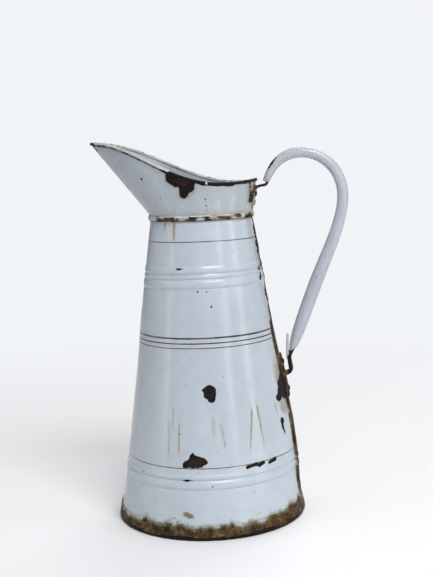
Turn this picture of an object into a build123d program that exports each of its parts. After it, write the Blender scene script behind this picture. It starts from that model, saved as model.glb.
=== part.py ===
from build123d import *
from math import atan2, cos, dist, hypot, pi, sin
import os

# Enamelled sheet-steel water jug, in millimetres.
# Origin: centre of the ring the jug stands on.  +Z is up, +X points to the handle and -X to the spout.

# Sheet and fits
SHEET = 1.2                 # enamelled steel sheet
GAP = 0.05                  # clearance between neighbouring pieces
BEYOND = 30.0               # how far a cutter reaches past what it trims

# Conical body
WALL_R0 = 94.4              # outer radius of the cone, carried down to z = 0
WALL_TAPER = 0.1484         # radius lost per millimetre of height
WALL_BOTTOM_Z = 3.6
NECK_Z = 302.0
BEADS = (                   # pressed beads: top z, bottom z, height above the wall
    (257.0, 249.5, 1.0),
    (249.5, 244.7, 0.8),
    (244.7, 235.5, 1.0),
    (61.5, 55.9, 0.9),
    (55.9, 47.0, 1.0),
)
SEAM_WIDTH = 7.5            # folded side seam
SEAM_PROUD = 1.5
SEAM_TURN = -4.0            # degrees round the axis from the handle's plane
SEAM_Z = (16.0, 298.0)
SEAM_BREAK = 0.5            # the seam stops this far short of the lower bracket's pad

# Base pan: recessed floor, standing ring and skirt folded round the foot of the wall
FLOOR_Z = 5.0
RING_R = (90.0, 92.4)       # the flat face the jug stands on
SKIRT_R = 95.0              # widest point of the skirt, and its height
SKIRT_Z = 5.5
SKIRT_TOP_Z = 14.5
SKIRT_LIP = 0.55            # thickness of the skirt's top edge
SKIRT_SLOPES = (0.35, -0.1)  # rise per run where it leaves the ring, run per rise at its top

# Neck
NECK_R = 51.3               # outer radius of the collar's plain skirt
COLLAR_BOTTOM_Z = 299.2
BAND_Z = (299.0, 304.5)
BAND_PROUD = (0.6, 1.55)    # hoop's thickness at its edges and at its crown
FLARE_Z = 304.6             # the collar starts to flare here

# Rim of the collar: the centre line of its wired edge, over the middle of the sheet
RIM_BACK = 57.0
RIM_FRONT = 107.3
RIM_HALF_WIDTH = 52.6
RIM_NOSE = (1.3, 0.7)       # powers that draw the front half of the rim to a point
RIM_LOW_X = 35.0            # the lowest point of the rim
RIM_LOW_Z = 333.2
RIM_TIP_Z = 377.0
RIM_BACK_Z = 335.5
RIM_SWEEP = 1.06            # power that shapes the rise from the low point to the tip
RIM_STEPS = 18              # stations round half of the rim
WIRE_R = 1.75               # wire with the thin edge of the sheet rolled over it
WIRE_SEAT = 2.0             # the sheet stops this far under the wire's centre line

# Handle: centre line in the X-Z plane, from the collar's bracket to the body's bracket
HANDLE_PATH = (
    (67.0, 333.0),
    (75.5, 348.0),
    (88.5, 357.5),
    (105.0, 360.0),
    (123.3, 353.5),
    (137.0, 338.0),
    (141.8, 319.0),
    (139.3, 299.0),
    (130.6, 272.8),
    (118.0, 243.5),
    (102.0, 203.8),
    (91.1, 175.2),
    (86.6, 163.4),
)
HANDLE_RADII = (            # fraction of the length, outer radius
    (0.0, 3.2),
    (0.03, 3.9),
    (0.07, 4.7),
    (0.14, 5.2),
    (0.25, 5.3),
    (0.36, 5.3),
    (0.47, 5.5),
    (0.6, 6.1),
    (0.74, 6.6),
    (0.87, 6.5),
    (0.93, 5.8),
    (0.96, 4.9),
    (0.98, 3.9),
    (1.0, 2.4),
)
HANDLE_STEPS = 24           # evenly spaced sections of the tube
TUBE_WALL = 1.0
TANG_FIT = 0.08             # radial clearance of a bracket's tang inside the tube
TANG_REACH = 9.0            # how far the tangs enter the tube
TANG_NECKS = (4.0, 5.0)     # length of each tang outside the tube, at the collar and at the body

# Brackets and rivets
STRAP = 2.4
UPPER_WIDTH = 12.0
UPPER_PAD_Z = (308.5, 328.6)
UPPER_ELBOW = (68.2, 329.6)
UPPER_RIVET_Z = (313.0, 321.5)
LOWER_WIDTH = 13.0
LOWER_ARM_WIDTH = 10.0
LOWER_PAD_Z = (119.0, 160.0)
LOWER_ARM = ((75.5, 140.0), (86.2, 144.8), (84.1, 156.5), (85.1, 160.6))
LOWER_RIVET_Z = (126.0, 153.5)
TONGUE = ((82.6, 155.5), (83.3, 181.0))
TONGUE_WIDTH = 8.0          # at its foot
TONGUE_TIP = 0.6            # at its point
TONGUE_THICK = 1.3
BEND_R = 2.0
RIVET_SHANK_R = 1.5
RIVET_HEAD_R = 3.0
RIVET_HEAD_H = 1.4
RIVET_SEAT = 0.12           # keeps a flat head clear of the curved wall behind it


def wall_r(z):
    """Outer radius of the plain wall at height z."""
    return WALL_R0 - WALL_TAPER * z


def wall_edges(inset):
    """Side outline of the wall from the neck to the foot, moved in by inset."""
    def at(z, proud=0.0):
        return (wall_r(z) - inset + proud, 0, z)

    edges = []
    z = NECK_Z
    for top, bottom, proud in BEADS:
        if top < z:
            edges.append(Line(at(z), at(top)))
        edges.append(ThreePointArc(at(top), at((top + bottom) / 2, proud), at(bottom)))
        z = bottom
    edges.append(Line(at(z), at(WALL_BOTTOM_Z)))
    return edges


def spin(edges):
    """Solid of revolution of a closed outline in the X-Z plane."""
    return revolve(Face(Wire(edges)), Axis.Z)


def rivet_planes(heights, radius_at, tilt):
    """One plane per rivet, on the outer face of a wall, looking outwards."""
    direction = (cos(tilt), 0, sin(tilt))
    return [Plane(origin=(radius_at(z), 0, z), x_dir=(0, 1, 0), z_dir=direction) for z in heights]


def drill(planes):
    """Shank-sized cutters through a wall and the pad on it."""
    reach = 4 * STRAP
    return [plane * Cylinder(RIVET_SHANK_R + GAP, reach) for plane in planes]


def collar_back_x(z):
    """Outer face of the collar in the handle's plane, behind the jug."""
    slope = (RIM_BACK - NECK_R + SHEET / 2) / (RIM_BACK_Z - FLARE_Z)
    return NECK_R + slope * (z - FLARE_Z)


WALL_TILT = atan2(WALL_TAPER, 1.0)
COLLAR_TILT = -atan2(collar_back_x(FLARE_Z + 1) - collar_back_x(FLARE_Z), 1.0)
LOWER_PLANES = rivet_planes(LOWER_RIVET_Z, wall_r, WALL_TILT)
UPPER_PLANES = rivet_planes(UPPER_RIVET_Z, collar_back_x, COLLAR_TILT)


def make_body_shell():
    """Conical wall with its pressed beads and the folded side seam."""
    outer = wall_edges(0.0)
    inner = wall_edges(SHEET)
    ends = [Line(outer[0] @ 0, inner[0] @ 0), Line(outer[-1] @ 1, inner[-1] @ 1)]
    shell = spin(outer + inner + ends)

    low, high = SEAM_Z
    root = -SHEET / 2
    corners = [(wall_r(z) + off, z) for z, off in
               ((low, root), (low, SEAM_PROUD), (high, SEAM_PROUD), (high, root))]
    seam = extrude(Plane.XZ * make_face(Polyline(*corners, close=True)), SEAM_WIDTH / 2, both=True)
    seam = Rot(0, 0, SEAM_TURN) * seam
    pad_low, pad_high = LOWER_PAD_Z
    pad_height = pad_high - pad_low + 2 * SEAM_BREAK
    pad_room = Pos(wall_r(pad_low), 0, (pad_low + pad_high) / 2) * Box(BEYOND, BEYOND, pad_height)
    return shell + (seam - pad_room) - drill(LOWER_PLANES)


def make_base_pan():
    """Floor of the jug, the ring it stands on and the skirt round the foot of the wall."""
    groove_z = WALL_BOTTOM_Z - 2 * GAP
    skirt_in = [(wall_r(z) + GAP, 0, z) for z in (SKIRT_TOP_Z, groove_z)]
    ring_in = [(wall_r(z) - SHEET - GAP, 0, z) for z in (groove_z, FLOOR_Z + SHEET)]
    top_out = (wall_r(SKIRT_TOP_Z) + SKIRT_LIP, 0, SKIRT_TOP_Z)
    ring_low, ring_out = [(r, 0, 0) for r in RING_R]
    ring_top = (RING_R[0], 0, FLOOR_Z)
    foot_slope, top_slope = SKIRT_SLOPES
    outline = [
        Line((0, 0, FLOOR_Z), ring_top),
        Line(ring_top, ring_low),
        Line(ring_low, ring_out),
        Spline(ring_out, (SKIRT_R, 0, SKIRT_Z), top_out, tangents=[(1, 0, foot_slope), (top_slope, 0, 1)]),
        Line(top_out, skirt_in[0]),
        Line(*skirt_in),
        Line(skirt_in[1], ring_in[0]),
        Line(*ring_in),
        Line(ring_in[1], (0, 0, FLOOR_Z + SHEET)),
        Line((0, 0, FLOOR_Z + SHEET), (0, 0, FLOOR_Z)),
    ]
    return spin(outline)


def rim_height(x):
    """Height of the wire's centre line at x."""
    if x > RIM_LOW_X:
        across = (x - RIM_LOW_X) / (RIM_BACK - RIM_LOW_X)
        return RIM_LOW_Z + (RIM_BACK_Z - RIM_LOW_Z) * across ** 2
    along = (RIM_LOW_X - x) / (RIM_LOW_X + RIM_FRONT)
    return RIM_LOW_Z + (RIM_TIP_Z - RIM_LOW_Z) * (1 - cos(pi * along ** RIM_SWEEP)) / 2


def rim_outline(turn, shift):
    """Rim in plan at an angle from the handle's side, moved outwards by shift."""
    if turn <= pi / 2:
        return ((RIM_BACK + shift) * cos(turn), (RIM_HALF_WIDTH + shift) * sin(turn))
    along = -cos(turn)
    power, fall = RIM_NOSE
    width = (RIM_HALF_WIDTH + shift) * (1 - along ** power) ** fall
    return (-(RIM_FRONT + shift) * along, width)


def rim_points(shift):
    """Evenly spaced points of half the rim, from the back round to the tip of the spout."""
    fine = 20 * RIM_STEPS
    dense = [rim_outline(pi * i / fine, shift) for i in range(fine + 1)]
    lengths = [0.0]
    for a, b in zip(dense, dense[1:]):
        lengths.append(lengths[-1] + hypot(b[0] - a[0], b[1] - a[1]))
    points = []
    for i in range(RIM_STEPS + 1):
        wanted = lengths[-1] * i / RIM_STEPS
        x, y = min(zip(lengths, dense), key=lambda pair: abs(pair[0] - wanted))[1]
        points.append((x, y, rim_height(x)))
    return points


def half_ring(points):
    """Smooth curve through half a ring of points, square to the X-Z plane at both ends."""
    marks = [i / RIM_STEPS for i in range(RIM_STEPS + 1)]
    speeds = [RIM_STEPS * dist(*pair) for pair in (points[:2], points[-2:])]
    tangents = [(0, speeds[0], 0), (0, -speeds[1], 0)]
    return Edge.make_spline(points, tangents=tangents, parameters=marks, scale=False)


def half_flare(shift):
    """Half of a solid collar, up the plain neck and on past the rim, its surface moved out by shift."""
    top_z = RIM_TIP_Z + BEYOND / 3
    base_r = NECK_R - SHEET / 2 + shift
    bottom, low, high = [], [], []
    for i, (x, y, z) in enumerate(rim_points(shift)):
        turn = pi * i / RIM_STEPS
        foot_x, foot_y = base_r * cos(turn), base_r * sin(turn)
        rise = (top_z - FLARE_Z) / (z - FLARE_Z)
        bottom.append((foot_x, foot_y, COLLAR_BOTTOM_Z))
        low.append((foot_x, foot_y, FLARE_Z))
        high.append((foot_x + rise * (x - foot_x), foot_y + rise * (y - foot_y), top_z))
    curves = [half_ring(points) for points in (bottom, low, high)]
    return Solid.make_loft([Wire([curve, Line(curve @ 1, curve @ 0)]) for curve in curves], ruled=True)


def above_rim():
    """Everything over the top of the sheet, to trim the flare with."""
    left, right, top = -RIM_FRONT - BEYOND, RIM_BACK + BEYOND, RIM_TIP_Z + BEYOND
    xs = [-RIM_FRONT + (RIM_BACK + RIM_FRONT) * i / RIM_STEPS for i in range(RIM_STEPS + 1)]
    crest = Spline(*[(x, rim_height(x) - WIRE_SEAT) for x in xs])
    level_right = (right, (crest @ 1).Y)
    level_left = (left, (crest @ 0).Y)
    sides = Polyline(crest @ 1, level_right, (right, top), (left, top), level_left, crest @ 0)
    return extrude(Plane.XZ * make_face(crest + sides), 2 * RIM_HALF_WIDTH, both=True)


def make_spout_collar():
    """Flared hood with its pouring lip, and the plain skirt that slips over the neck."""
    half = half_flare(SHEET / 2) - half_flare(-SHEET / 2) - above_rim()
    return half + mirror(half, about=Plane.XZ) - drill(UPPER_PLANES)


def make_rim_wire():
    """Stiffening wire round the rim, in two mirrored halves joined as one."""
    path = half_ring(rim_points(0.0))
    marks = [i / (2 * RIM_STEPS) for i in range(2 * RIM_STEPS + 1)]
    rings = [Plane(origin=path @ mark, z_dir=path % mark) * Circle(WIRE_R) for mark in marks]
    half = loft(rings)
    return half + mirror(half, about=Plane.XZ)


def make_neck_band():
    """Half-round hoop over the joint between the wall and the collar."""
    low, high = BAND_Z
    middle = (low + high) / 2
    edge, crown = BAND_PROUD
    inside = NECK_R + GAP
    outline = [
        Line((inside, 0, high), (inside, 0, low)),
        Line((inside, 0, low), (inside + edge, 0, low)),
        ThreePointArc((inside + edge, 0, low), (inside + crown, 0, middle), (inside + edge, 0, high)),
        Line((inside + edge, 0, high), (inside, 0, high)),
    ]
    return spin(outline)


HANDLE_LINE = Spline(*[(x, 0, z) for x, z in HANDLE_PATH])
EVEN_STATIONS = [i / HANDLE_STEPS for i in range(HANDLE_STEPS + 1)]
HANDLE_STATIONS = sorted({*EVEN_STATIONS, *(along for along, _ in HANDLE_RADII)})


def tube_radius(along):
    """Outer radius of the handle at a fraction of its length."""
    for (a, low), (b, high) in zip(HANDLE_RADII, HANDLE_RADII[1:]):
        if along <= b:
            return low + (high - low) * (along - a) / (b - a)
    return HANDLE_RADII[-1][1]


def round_bar(shrink):
    """Smooth bar along the handle's line, thinner than the tube by shrink."""
    rings = []
    for along in HANDLE_STATIONS:
        plane = Plane(origin=HANDLE_LINE @ along, x_dir=(0, 1, 0), z_dir=HANDLE_LINE % along)
        rings.append(plane * Circle(tube_radius(along) - shrink))
    return loft(rings)


def make_handle_tube():
    """Drawn steel tube, hollow, drawn thinner at both ends."""
    return round_bar(0.0) - round_bar(TUBE_WALL)


def side_strap(points, width):
    """Bent strap: a path in the X-Z plane given thickness, then width along Y."""
    path = FilletPolyline(*points, radius=BEND_R) if len(points) > 2 else Line(*points)
    return extrude(Plane.XZ * trace(path, STRAP), width / 2, both=True)


def make_tang(along, neck):
    """Tang held inside one end of the tube, and the short round neck that carries it out of there."""
    outward = -1 if along == 0 else 1
    end = HANDLE_LINE @ along
    away = (HANDLE_LINE % along) * outward
    plane = Plane(origin=end, z_dir=away)
    radius = tube_radius(along) - TUBE_WALL - TANG_FIT
    inside = round_bar(TUBE_WALL + TANG_FIT) & (Pos(*end) * Sphere(TANG_REACH))
    return inside + plane * Pos(0, 0, neck / 2) * Cylinder(radius, neck)


def make_upper_bracket():
    """Strap riveted to the back of the collar, its arm ending in a tang inside the handle."""
    low, high = UPPER_PAD_Z
    lift = STRAP / 2 + GAP
    pad = side_strap([(collar_back_x(z) + lift, z) for z in (low, high)] + [UPPER_ELBOW], UPPER_WIDTH)
    return pad + make_tang(0, TANG_NECKS[0]) - drill(UPPER_PLANES)


def make_lower_bracket():
    """Pad riveted to the wall, with an arm, a tang inside the handle and a pointed tongue beside it."""
    low, high = LOWER_PAD_Z
    lift = STRAP / 2 + GAP
    pad = side_strap([(wall_r(z) + lift, z) for z in (low, high)], LOWER_WIDTH)
    arm = side_strap(LOWER_ARM, LOWER_ARM_WIDTH)
    (foot_x, foot_z), (tip_x, tip_z) = TONGUE
    half, tip, height = TONGUE_WIDTH / 2, TONGUE_TIP / 2, tip_z - foot_z
    leaf = make_face(Polyline((-half, 0), (half, 0), (tip, height), (-tip, height), close=True))
    leaf_plane = Plane(origin=(foot_x, 0, foot_z), x_dir=(0, 1, 0), z_dir=(height, 0, foot_x - tip_x))
    tongue = extrude(leaf_plane * leaf, TONGUE_THICK / 2, both=True)
    return pad + arm + make_tang(1, TANG_NECKS[1]) + tongue - drill(LOWER_PLANES)


def make_rivet(grip):
    """Domed rivet: z = 0 is the wall's outer face and grip is the strap's thickness."""
    top = grip + 2 * GAP
    bottom = -SHEET - RIVET_SEAT
    ball_r = (RIVET_HEAD_R ** 2 + RIVET_HEAD_H ** 2) / (2 * RIVET_HEAD_H)
    sunk = ball_r - RIVET_HEAD_H
    cap = (Pos(0, 0, -sunk) * Sphere(ball_r)) & (Pos(0, 0, ball_r) * Box(8 * ball_r, 8 * ball_r, 2 * ball_r))
    shank = Pos(0, 0, (top + bottom) / 2) * Cylinder(RIVET_SHANK_R, top - bottom)
    return shank + Pos(0, 0, top) * cap + Pos(0, 0, bottom) * Rot(180, 0, 0) * cap


def make_rivets(planes):
    """The rivets of one bracket, as separate solids."""
    return Compound([plane * make_rivet(STRAP + GAP) for plane in planes])


NODES = {
    "body_shell": make_body_shell(),
    "base_pan": make_base_pan(),
    "spout_collar": make_spout_collar(),
    "neck_band": make_neck_band(),
    "rim_wire": make_rim_wire(),
    "handle_tube": make_handle_tube(),
    "upper_bracket": make_upper_bracket(),
    "lower_bracket": make_lower_bracket(),
    "upper_rivets": make_rivets(UPPER_PLANES),
    "lower_rivets": make_rivets(LOWER_PLANES),
}

os.makedirs("parts", exist_ok=True)
for name, shape in NODES.items():
    export_step(shape, f"parts/{name}.step")
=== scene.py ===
import math

import bmesh
import bpy
import numpy as np
from mathutils import Matrix, Vector


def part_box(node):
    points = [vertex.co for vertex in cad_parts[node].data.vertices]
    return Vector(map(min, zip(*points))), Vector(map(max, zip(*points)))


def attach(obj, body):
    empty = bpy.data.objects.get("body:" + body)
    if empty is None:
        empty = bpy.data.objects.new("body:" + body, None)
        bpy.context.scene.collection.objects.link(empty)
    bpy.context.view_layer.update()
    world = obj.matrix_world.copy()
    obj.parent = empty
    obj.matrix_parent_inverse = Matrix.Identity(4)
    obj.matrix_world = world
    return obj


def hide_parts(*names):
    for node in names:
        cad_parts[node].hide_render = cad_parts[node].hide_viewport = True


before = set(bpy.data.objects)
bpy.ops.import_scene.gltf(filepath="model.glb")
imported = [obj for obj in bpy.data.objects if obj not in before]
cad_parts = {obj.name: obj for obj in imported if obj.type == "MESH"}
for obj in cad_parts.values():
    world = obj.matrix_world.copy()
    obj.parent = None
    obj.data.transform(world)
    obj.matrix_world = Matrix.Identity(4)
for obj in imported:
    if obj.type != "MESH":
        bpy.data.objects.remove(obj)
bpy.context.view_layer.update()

# Lengths below are in millimetres in the row frame: +Z up, +X to the handle, -X to the spout.
# A bearing is the angle round the jug in degrees: 0 faces -Y, 90 the handle and -90 the spout.
MM = 0.001


def corners(node):
    """Lowest and highest corner of a CAD node, in millimetres."""
    low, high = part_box(node)
    return np.array(low) / MM, np.array(high) / MM


BODY_LOW, BODY_HIGH = corners("body_shell")
BAND_LOW, BAND_HIGH = corners("neck_band")
WIRE_LOW, WIRE_HIGH = corners("rim_wire")
HOOD_LOW = corners("spout_collar")[0]

# Sheet and wall
SHEET = 1.2
CLEARANCE = 0.05
TAPER = 0.1484
WALL_FOOT_Z = BODY_LOW[2]
NECK_Z = BODY_HIGH[2]
WALL_R0 = BODY_HIGH[1] + TAPER * WALL_FOOT_Z
FLOOR_Z = 5.0
BEADS = (               # top, bottom, how proud
    (257.0, 249.5, 1.5),
    (249.5, 244.7, 1.1),
    (244.7, 235.5, 1.6),
    (61.5, 55.9, 1.3),
    (55.9, 47.0, 1.5),
)
SEAM_BEARING = 86.0
SEAM_HALF = 3.75
SEAM_PROUD = 1.5
STRIPES = (             # height, half-width
    (279.5, 0.42), (188.9, 0.85), (183.9, 0.6), (179.5, 0.45), (67.2, 0.4),
)

# Rim and neck
WIRE_R = 1.75
RIM_FRONT = -WIRE_LOW[0] - WIRE_R
RIM_BACK = WIRE_HIGH[0] - WIRE_R
RIM_HALF_WIDTH = WIRE_HIGH[1] - WIRE_R
RIM_LOW_Z = WIRE_LOW[2] + WIRE_R
RIM_TIP_Z = WIRE_HIGH[2] - WIRE_R
RIM_BACK_RISE = 2.3
RIM_LOW_X = 35.0
RIM_SWEEP = 1.06
RIM_NOSE = (1.3, 0.7)
FLARE_Z = BAND_HIGH[2] + 0.1
NECK_R = 50.9
NECK_SHIFT = 1.3        # the neck sits a little towards the handle
NECK_SPREAD = 0.012     # and is a touch wider than its hoop was made

# Handle: X and Z of its centre line, then fraction of its length and radius
HANDLE_PATH = (
    (67.0, 333.0), (75.5, 348.0), (88.5, 357.5), (105.0, 360.0), (123.3, 353.5), (137.0, 338.0),
    (141.8, 319.0), (139.3, 299.0), (130.6, 272.8), (118.0, 243.5), (102.0, 203.8), (91.1, 175.2),
    (86.6, 163.4),
)
HANDLE_RADII = (
    (0.0, 3.2), (0.03, 3.9), (0.07, 4.7), (0.14, 5.2), (0.25, 5.3), (0.36, 5.3), (0.47, 5.5),
    (0.6, 6.1), (0.74, 6.6), (0.87, 6.5), (0.93, 5.8), (0.96, 4.9), (0.98, 3.9), (1.0, 2.3),
)

TUBE_WALL = 1.0
UPPER_RIVETS = (313.0, 321.5)   # heights
LOWER_RIVETS = (126.0, 153.5)
INNER_HEAD_R = 3.0
INNER_HEAD_DOME = 1.3

# Wear is kept on the points of a mesh. "chip" and "rust" tell how far a point is inside bare iron and
# inside rust, "brown" how brown the iron is, and "stain" how dirty the enamel is.
# "chip" also carries the painted shadow along the underside of the rim's roll.
# "stain" also carries painted shade on the collar, at its foot and under its rim.
LIMIT = 6.0
NONE = -LIMIT

# Chips on the wall, each with the bearing and height of its middle.
# An ellipse has its place, its half-width and half-height, and its turn.
BODY_CHIPS = (
    (10.2, 137.5, ((0.0, 1.6, 6.2, 6.0), (1.9, -3.6, 4.2, 5.6), (-0.3, -0.6, 5.6, 5.0), (2.4, 0.2, 4.4, 6.0),
                   (-5.6, 2.8, 1.8, 1.5, -20))),
    (-1.4, 72.5, ((0.6, -0.9, 10.2, 4.4), (-2.6, 4.6, 3.2, 4.6), (0.0, 2.4, 6.6, 4.4), (6.0, 1.8, 5.4, 4.2),
                  (10.4, 0.6, 2.6, 1.6), (2.6, 4.2, 4.0, 2.6), (-5.4, -0.4, 5.4, 4.2),
                  (-9.2, -1.6, 2.8, 3.0))),
    (-6.7, 56.4, ((0, 0, 4.8, 1.0),)),
    (70.8, 96.0, ((0.0, 2.4, 3.4, 3.6), (-0.4, -2.6, 2.5, 3.6))),
)
BODY_STROKES = (        # both ends, radius at each end
    (-1.4, 72.5, (-12.0, -4.6), (-7.0, -3.4), 0.8, 1.4),
    (70.8, 96.0, (0.4, -6), (1.6, -12), 1.5, 0.7),
)
BODY_POOLS = (          # raggedness, size and seed of its noise, ellipses
    (79.5, 128.0, 1.3, 6.0, 24, ((2.5, 2.0, 8.4, 13.0), (-10.5, -6.5, 5.6, 4.2), (-4.0, 6.0, 4.4, 5.0),
                                 (-5.5, -1.5, 5.0, 5.5))),
    (93.0, 112.0, 1.2, 8.0, 26, ((2.0, 5.0, 15.0, 17.0), (3.0, -14.0, 9.0, 20.0), (7.0, -22.0, 6.0, 22.0))),
)
BODY_SPOTS = (          # half-width, half-height
    (78.6, 249.0, 2.8, 2.2), (76.0, 239.6, 3.2, 1.8), (79.0, 242.5, 2.4, 1.8), (-14.5, 254.4, 2.3, 0.7),
    (-42.0, 59.0, 0.9, 0.9), (9.3, 50.6, 0.5, 0.5), (-27.0, 66.0, 0.9, 0.6), (-31.0, 111.0, 0.6, 0.6),
    (10.5, 232.5, 0.9, 0.9), (2.5, 232.8, 0.6, 0.5), (14.5, 218.5, 0.8, 1.1), (-63.0, 84.0, 1.0, 2.6),
    (35.6, 40.5, 0.6, 0.9), (-12.0, 99.5, 0.55, 0.7), (152.0, 210.0, 4.2, 3.0), (141.0, 88.0, 6.0, 4.4),
    (196.0, 150.0, 5.0, 7.0), (214.0, 63.5, 5.4, 1.4), (225.0, 63.8, 4.0, 1.2), (246.0, 236.0, 3.0, 2.0),
    (131.0, 262.0, 2.2, 3.6), (187.0, 33.0, 4.2, 3.0),
)
DASHES = ((33.4, 40.0, 1.9), (42.0, 46.0, 1.9), (51.0, 56.8, 2.1))      # first and last bearing, radius
DASH_Z = 65.5
BODY_STREAKS = (        # bearing and height of the top, of the bottom, half-width, strength
    ((-12.2, 108), (-12.6, 78), 0.6, 0.85), ((11.8, 113), (12.1, 90), 1.0, 0.5),
    ((17.2, 107), (19.8, 80), 0.6, 0.85), ((41.4, 117), (36.2, 78), 0.8, 1.15),
    ((46.4, 119), (48.4, 82), 0.8, 1.2), ((65.2, 117), (66.5, 103), 0.9, 0.9),
    ((-20.6, 108), (-19.6, 72), 0.55, 0.65), ((-17.2, 122), (-17.0, 102), 0.5, 0.6),
    ((-35.0, 300), (-34.2, 288), 1.6, 0.8), ((-22.5, 300), (-21.7, 279), 1.8, 0.95),
    ((-48.0, 300), (-48.0, 292), 1.5, 0.4), ((71.0, 300), (70.0, 268), 3.0, 0.35),
    ((78.0, 298), (78.0, 250), 2.5, 0.3), ((-62.0, 92), (-62.5, 76), 1.0, 0.5),
    ((-47.0, 40), (-46.5, 31), 0.9, 0.75), ((118.0, 160), (120.0, 95), 1.2, 0.5),
    ((150.0, 299), (151.0, 276), 1.8, 0.7), ((203.0, 299), (203.0, 286), 1.5, 0.7),
    ((176.0, 110), (178.0, 76), 0.8, 0.5), ((232.0, 121), (229.0, 84), 0.8, 0.45),
)
FOOT_RUST_PEAKS = (     # bearing, half-width in degrees, height
    (66.0, 7.0, 5.5), (80.0, 6.0, 8.0), (49.0, 5.0, 3.5), (-78.0, 8.0, 3.0), (-36.0, 2.0, 4.5),
    (20.0, 1.4, 4.0), (7.0, 1.8, 2.0), (150.0, 8.0, 5.0), (230.0, 5.0, 4.0),
)

# Colours on screen, 0 to 255
BODY_TINT = (186, 195, 204)
HOOD_TINT = (170, 177, 184)
RIM_TINT = (196, 199, 200)
BAND_TINT = (203, 206, 206)
HANDLE_TINT = (176, 182, 190)
BRACKET_TINT = (176, 178, 176)
FLOOR_TINT = (240, 240, 241)
RUST_TONES = ((0.0, (24, 20, 19)), (0.3, (48, 38, 28)), (0.52, (78, 58, 37)), (0.72, (102, 80, 49)),
              (0.88, (116, 98, 66)), (1.0, (138, 122, 92)))

# Studio
STUDIO_WHITE = (0.95, 0.97, 1.0, 1)
FLOOR_HALF = 14000.0
BACKDROP = 0.93         # strength of the backdrop as the camera sees it
DARK_BAND = 0.04        # and of the uneven surround that the jug sees
LIGHT_BAND = 0.62

# The camera stands in front of the jug, turned towards the handle's side
CAMERA_BEARING = 9.0
CAMERA_DISTANCE = 1014.8
CAMERA_HEIGHT = 352.9
CAMERA_PITCH = 0.1226
CAMERA_YAW = 0.0132
CAMERA_ROLL = -0.0423
CAMERA_FOCAL = 63.38


# ---------------- numbers

def smooth(x, low, high):
    """Eased step from 0 at low to 1 at high."""
    t = np.clip((x - low) / (high - low), 0, 1)
    return t * t * (3 - 2 * t)


def hashed(cells, seed):
    """Repeatable value in -1..1 for each whole-number cell."""
    h = cells.astype(np.int64) * np.array([73856093, 19349663, 83492791])
    h = (h[..., 0] ^ h[..., 1] ^ h[..., 2] ^ (seed * 374761393)) & 0xFFFFFFFF
    h = ((h ^ (h >> 13)) * 1274126177) & 0xFFFFFFFF
    h = h ^ (h >> 16)
    return (h & 0xFFFF) / 32767.5 - 1.0


def value_noise(points, seed):
    """Smooth noise in -1..1 with one cell per unit of length."""
    base = np.floor(points)
    part = points - base
    ease = part * part * (3 - 2 * part)
    total = np.zeros(points.shape[:-1])
    for corner in np.ndindex(2, 2, 2):
        share = np.prod(np.where(corner, ease, 1 - ease), axis=-1)
        total += share * hashed(base + np.array(corner), seed)
    return total


def fbm(points, size, seed=0, octaves=3):
    """Layered noise in about -1..1, with features of about the given size."""
    total, weight = 0.0, 1.0
    for octave in range(octaves):
        total = total + weight * value_noise(points * (2 ** octave / size) + 17.3 * octave, seed + octave)
        weight *= 0.5
    return total / (2 - 2 * weight)


def wrap(degrees):
    """The same angle between -180 and 180 degrees."""
    return (degrees + 180) % 360 - 180


def arc(bearing, middle, radius):
    """Distance round the jug from the middle bearing."""
    return wrap(bearing - middle) * np.pi / 180 * radius


def ellipse(x, y, cx, cy, w, h, turn=0.0):
    """Rough distance inside (positive) or outside an ellipse."""
    c, s = math.cos(math.radians(turn)), math.sin(math.radians(turn))
    u, v = (x - cx) * c + (y - cy) * s, (y - cy) * c - (x - cx) * s
    return (1 - np.hypot(u / w, v / h)) * min(w, h)


def capsule(x, y, a, b, ra, rb):
    """Distance inside (positive) or outside a stroke from a to b, with a radius at each end."""
    ax, ay = a
    dx, dy = b[0] - ax, b[1] - ay
    t = np.clip(((x - ax) * dx + (y - ay) * dy) / (dx * dx + dy * dy), 0, 1)
    return ra + (rb - ra) * t - np.hypot(x - ax - t * dx, y - ay - t * dy)


def union(*fields):
    """Distance inside any of several shapes."""
    return np.maximum.reduce(fields)


def blots(x, y, *shapes):
    """Distance inside any of several ellipses."""
    return union(*[ellipse(x, y, *shape) for shape in shapes])


def limited(field, top=LIMIT):
    return np.clip(field, NONE, top)


def full_turn(count):
    """Angles in radians, evenly round a circle."""
    return np.linspace(0, 2 * np.pi, count, endpoint=False)


def unit(vectors):
    return vectors / np.linalg.norm(vectors, axis=-1)[..., None]


def lengths(points):
    """Length of a line of points from its start to each of them."""
    return np.concatenate([[0], np.cumsum(np.linalg.norm(np.diff(points, axis=0), axis=1))])


def interpolated(at, marks, points):
    """Flat points read at the wanted marks."""
    return np.stack([np.interp(at, marks, points[:, i]) for i in (0, 1)], -1)


def spline_at(knots, marks, wanted):
    """Natural cubic spline through knots, which lie at marks, read at the wanted marks."""
    knots, marks = np.array(knots, float), np.array(marks, float)
    n = len(marks)
    step = np.diff(marks)
    rows = np.zeros((n, n))
    right = np.zeros((n, knots.shape[1]))
    rows[0, 0] = rows[-1, -1] = 1
    for i in range(1, n - 1):
        rows[i, i - 1:i + 2] = step[i - 1], 2 * (step[i - 1] + step[i]), step[i]
        right[i] = 6 * ((knots[i + 1] - knots[i]) / step[i] - (knots[i] - knots[i - 1]) / step[i - 1])
    bend = np.linalg.solve(rows, right)
    i = np.clip(np.searchsorted(marks, wanted, side="right") - 1, 0, n - 2)
    a = ((marks[i + 1] - wanted) / step[i])[:, None]
    b = 1 - a
    h2 = (step[i] ** 2)[:, None]
    return a * knots[i] + b * knots[i + 1] + ((a ** 3 - a) * bend[i] + (b ** 3 - b) * bend[i + 1]) * h2 / 6


def spaced(low, high, count, density):
    """Count values from low to high, closer together where density(value) is greater."""
    fine = np.linspace(low, high, 4000)
    total = np.concatenate([[0], np.cumsum(density((fine[1:] + fine[:-1]) / 2))])
    return np.interp(np.linspace(0, total[-1], count), total, fine)


# ---------------- meshes

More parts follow.
